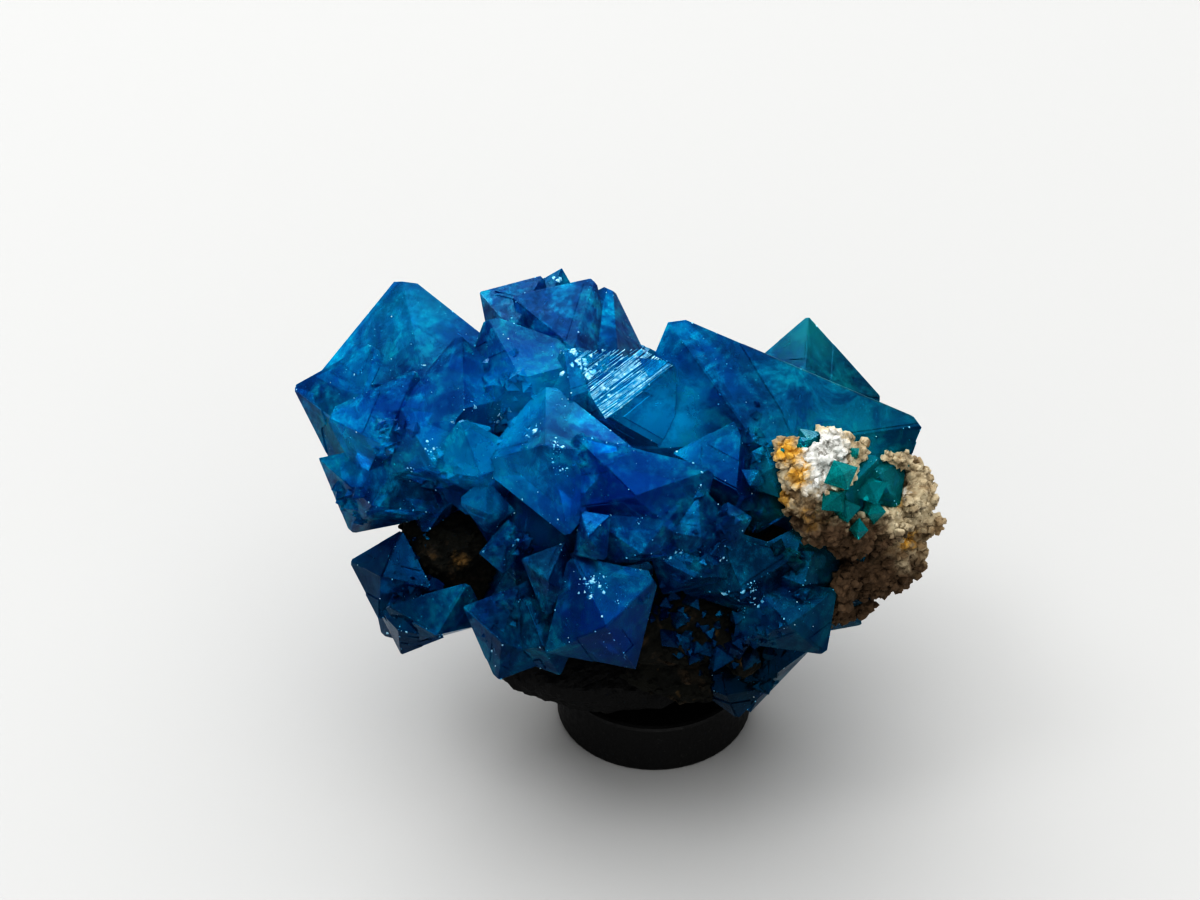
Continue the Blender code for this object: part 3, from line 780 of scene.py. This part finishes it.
def make_striated_face():
    """Fine parallel ridges, broken into lengths, on the bright face near the top, in the pale
    painted-highlight colour.
    """
    rng = random.Random(4)
    eye, direction = sight(*FACE_PIXEL)
    place, normal = crystal_tree.ray_cast(eye, direction)[:2]
    corners = [on_plane(pixel, place, normal) for pixel in FACE_CORNERS]
    start, end = (on_plane(pixel, place, normal) for pixel in STREAK_LINE)
    straight = (end - start).normalized()
    across = normal.cross(straight)
    reach = [(corner - start).dot(across) for corner in corners]
    low, high = min(reach), max(reach)
    step = (high - low) / STREAK_COUNT
    bm = bmesh.new()
    middle = sum(corners, Vector()) / len(corners)
    sign = 1.0 if (middle - start).dot(across) > 0.0 else -1.0
    for _ in range(STREAK_COUNT):
        share = rng.random() ** 1.5
        edgeward = share < EDGEWARD_SHARE
        line = start + across * (sign * share * (high - low))
        along = (straight + across * rng.uniform(-0.07, 0.07)).normalized()
        span = inside_span(line, corners, normal, along)
        if span is None:
            continue
        here = span[0]
        while here < span[1]:
            length = rng.uniform(0.2, 1.3) if edgeward else rng.uniform(0.05, 0.45)
            there = min(here + length * MM, span[1])
            width = step * (rng.uniform(0.10, 0.75) if edgeward else rng.uniform(0.08, 0.40))
            height = rng.uniform(0.006, 0.030) * MM
            a, b = line + along * here, line + along * there
            slant = rng.uniform(-0.8, 0.8)
            ends = []
            for point, taper in ((a, rng.uniform(0.2, 1.0)), (b, rng.uniform(0.2, 1.0))):
                ends.append(
                    (
                        bm.verts.new(point - across * width - normal * height * 0.3),
                        bm.verts.new(point + across * width - normal * height * 0.3),
                        bm.verts.new(point + across * width * slant + normal * height * taper),
                    )
                )
            first, second = ends
            bm.faces.new(first)
            bm.faces.new(tuple(reversed(second)))
            for side in range(3):
                after = (side + 1) % 3
                bm.faces.new((first[side], second[side], second[after], first[after]))
            gap = rng.choice((0.0, 0.02, 0.3)) if edgeward else rng.choice((0.05, 0.2, 0.5))
            here = there + gap * rng.random() * MM
    finish_flakes(bm, "striated_face", sparkle_material())


# ---- The specimen

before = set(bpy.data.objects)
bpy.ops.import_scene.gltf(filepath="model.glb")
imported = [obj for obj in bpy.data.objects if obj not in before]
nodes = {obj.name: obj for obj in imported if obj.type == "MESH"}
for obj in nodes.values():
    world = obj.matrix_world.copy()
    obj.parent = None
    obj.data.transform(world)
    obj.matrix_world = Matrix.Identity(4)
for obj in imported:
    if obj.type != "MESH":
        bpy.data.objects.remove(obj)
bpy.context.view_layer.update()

crystals = nodes["liroconite_crystals"]
crystal_tree = tree_of(crystals)
rock_tree = tree_of(nodes["matrix_rock"])
crust_tree = tree_of(nodes["matrix_crust"])
assign(crystals, crystal_material())
rough_piece(
    "crumbly_rock", "matrix_rock", rock_material("dark_rock", pale=False),
    voxel=0.06, depth=0.05, crumbs=700, sizes=(0.03, 0.08), seed=1,
)
rough_piece(
    "crumbly_crust", "matrix_crust", rock_material("pale_rock", pale=True),
    voxel=0.05, depth=0.085, crumbs=1700, sizes=(0.025, 0.11), seed=2,
)
rough_piece(
    "rough_putty", "mounting_putty", putty_material(),
    voxel=0.07, depth=0.04, crumbs=0, sizes=None, seed=3,
)
assign(nodes["peg"], peg_material())
scatter_specks(count=2400)
make_sparkles()
chip_edges(count=1100)
grow_druse(count=420)
grow_layers()
make_striated_face()


# ---- Floor, light and camera

FLOOR_REACH = 0.6
FLOOR_COLOUR = (0.368, 0.368, 0.365)
ROOM_LIGHT = 0.50

# Each lamp's name, the direction in which it lies from the cluster's middle, its distance and its
# size in metres, and its power in watts.
LAMPS = [
    ("glint", (-0.44, -0.12, 0.88), 0.12, 0.04, 0.014),
    ("overhead", (-0.04, 0.22, 0.97), 0.35, 0.70, 1.55),
    ("front_fill", (0.10, -0.80, 0.60), 0.40, 0.60, 0.42),
    ("behind", (-0.20, 0.90, 0.38), 0.25, 0.22, 0.24),
]


def make_floor():
    bm = bmesh.new()
    bmesh.ops.create_grid(bm, x_segments=4, y_segments=4, size=FLOOR_REACH)
    floor = new_object("floor", bm)
    n = Nodes("pale_floor")
    n.set(Base_Color=FLOOR_COLOUR, Roughness=0.7, Specular_IOR_Level=0.2)
    assign(floor, n.material)


def area_light(name, direction, distance, size, power):
    """A round soft lamp that points at the cluster's middle."""
    data = bpy.data.lights.new(name, "AREA")
    data.shape = "DISK"
    data.size = size
    data.energy = power
    light = bpy.data.objects.new(name, data)
    light.location = CLUSTER_MIDDLE + Vector(direction) * distance
    light.rotation_euler = (CLUSTER_MIDDLE - light.location).to_track_quat("-Z", "Y").to_euler()
    bpy.context.scene.collection.objects.link(light)


def make_light():
    world = bpy.data.worlds.new("soft_room")
    world.use_nodes = True
    background = world.node_tree.nodes["Background"]
    background.inputs["Color"].default_value = WHITE
    background.inputs["Strength"].default_value = ROOM_LIGHT
    bpy.context.scene.world = world
    for lamp in LAMPS:
        area_light(*lamp)


def make_camera():
    basis = display_basis()
    data = bpy.data.cameras.new("camera")
    data.sensor_fit = "HORIZONTAL"
    data.sensor_width = SENSOR_WIDTH
    view_width = IMAGE_WIDTH / PIXELS_PER_MM * MM
    data.lens = SENSOR_WIDTH * CAMERA_DISTANCE / view_width
    data.shift_x = (IMAGE_WIDTH / 2 - MIDDLE_PIXEL[0]) / IMAGE_WIDTH
    data.shift_y = (MIDDLE_PIXEL[1] - IMAGE_HEIGHT / 2) / IMAGE_WIDTH
    data.clip_start = 0.001
    data.clip_end = 10.0
    camera = bpy.data.objects.new("camera", data)
    eye = CLUSTER_MIDDLE + basis.col[2] * CAMERA_DISTANCE
    camera.matrix_world = Matrix.Translation(eye) @ basis.to_4x4()
    bpy.context.scene.collection.objects.link(camera)
    bpy.context.scene.camera = camera


make_floor()
make_light()
make_camera()
settings = bpy.context.scene.view_settings
settings.view_transform = "Standard"
settings.look = "Very High Contrast"
